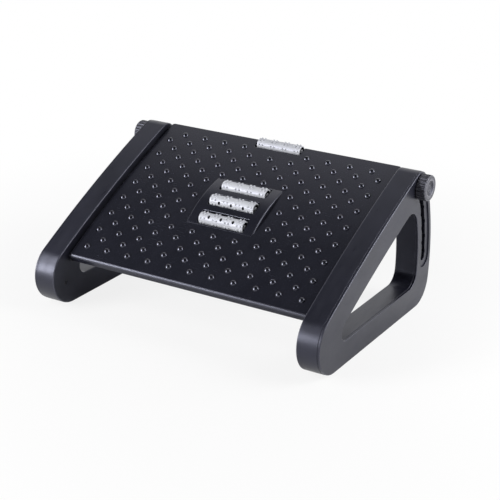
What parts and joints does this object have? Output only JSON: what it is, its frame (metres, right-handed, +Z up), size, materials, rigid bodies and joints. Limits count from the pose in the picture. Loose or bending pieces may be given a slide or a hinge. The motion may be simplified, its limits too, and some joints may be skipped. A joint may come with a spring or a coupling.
{
  "type": "tilting under desk footrest",
  "caption": "Tilting under desk footrest: a bowed, bumpy footplate with massage rollers between two triangular side frames, held at its angle by knobs in notched slots.",
  "frame": {"origin": "on the floor under the middle of the footrest", "axes": "+X to the user's right, +Y away from the user, +Z up"},
  "size_m": [0.4504, 0.306, 0.1934],
  "materials": {
    "stand_plastic": "fine satin moulding",
    "plate_plastic": "semi-gloss moulding",
    "roller_plastic": "milky gloss",
    "knob_plastic": "satin",
    "bush_nylon": "black nylon",
    "pad_rubber": "matt",
    "screw_black": "black zinc",
    "steel": "bright zinc",
    "brass": "turned"
  },
  "bodies": {
    "stand": {"shell_left": "stand_plastic", "cover_left": "stand_plastic", "cover_screws_left": "screw_black", "pivot_bush_left": "bush_nylon", "shell_right": "stand_plastic", "cover_right": "stand_plastic", "cover_screws_right": "screw_black", "pivot_bush_right": "bush_nylon", "pad_front_left": "pad_rubber", "pad_front_right": "pad_rubber", "pad_rear_left": "pad_rubber", "pad_rear_right": "pad_rubber"},
    "plate": {"footplate": "plate_plastic", "roller_retainer": "plate_plastic", "retainer_screws": "steel", "pivot_rod": "steel", "height_rod": "steel", "rod_spacer_left": "bush_nylon", "rod_spacer_right": "bush_nylon", "axle_front": "steel", "axle_middle": "steel", "axle_rear": "steel", "axle_edge": "steel"},
    "roller_front": {"roller_front": "roller_plastic"},
    "roller_middle": {"roller_middle": "roller_plastic"},
    "roller_rear": {"roller_rear": "roller_plastic"},
    "roller_edge": {"roller_edge": "roller_plastic"},
    "washer_left": {"washer_left": "steel"},
    "knob_left": {"knob_left": "knob_plastic", "knob_nut_left": "brass"},
    "washer_right": {"washer_right": "steel"},
    "knob_right": {"knob_right": "knob_plastic", "knob_nut_right": "brass"}
  },
  "joints": [
    {"name": "plate_tilt", "type": "hinge", "parent": "stand", "child": "plate", "pos_m": [0, -0.1121, 0.0654], "axis": [1, 0, 0], "range_deg": [-25.4, 0]},
    {"name": "roll_front", "type": "hinge", "parent": "plate", "child": "roller_front", "pos_m": [0, -0.02721, 0.1221], "axis": [1, 0, 0], "continuous": true},
    {"name": "roll_middle", "type": "hinge", "parent": "plate", "child": "roller_middle", "pos_m": [0, -0.00119, 0.13857], "axis": [1, 0, 0], "continuous": true},
    {"name": "roll_rear", "type": "hinge", "parent": "plate", "child": "roller_rear", "pos_m": [0, 0.02789, 0.14873], "axis": [1, 0, 0], "continuous": true},
    {"name": "roll_edge", "type": "hinge", "parent": "plate", "child": "roller_edge", "pos_m": [0, 0.11718, 0.18413], "axis": [1, 0, 0], "continuous": true},
    {"name": "washer_slide_left", "type": "slide", "parent": "plate", "child": "washer_left", "axis": [-1, 0, 0], "range_m": [0, 0.0026]},
    {"name": "knob_turn_left", "type": "hinge", "parent": "washer_left", "child": "knob_left", "pos_m": [-0.2165, 0.10785, 0.17173], "axis": [-1, 0, 0], "range_deg": [0, 720]},
    {"name": "washer_slide_right", "type": "slide", "parent": "plate", "child": "washer_right", "axis": [1, 0, 0], "range_m": [0, 0.0026]},
    {"name": "knob_turn_right", "type": "hinge", "parent": "washer_right", "child": "knob_right", "pos_m": [0.2165, 0.10785, 0.17173], "axis": [1, 0, 0], "range_deg": [0, 720]}
  ],
  "couplings": [
    {"joint": "washer_slide_left", "follows": "knob_turn_left", "m_per_rad": 0.00019894},
    {"joint": "washer_slide_right", "follows": "knob_turn_right", "m_per_rad": 0.00019894}
  ]
}
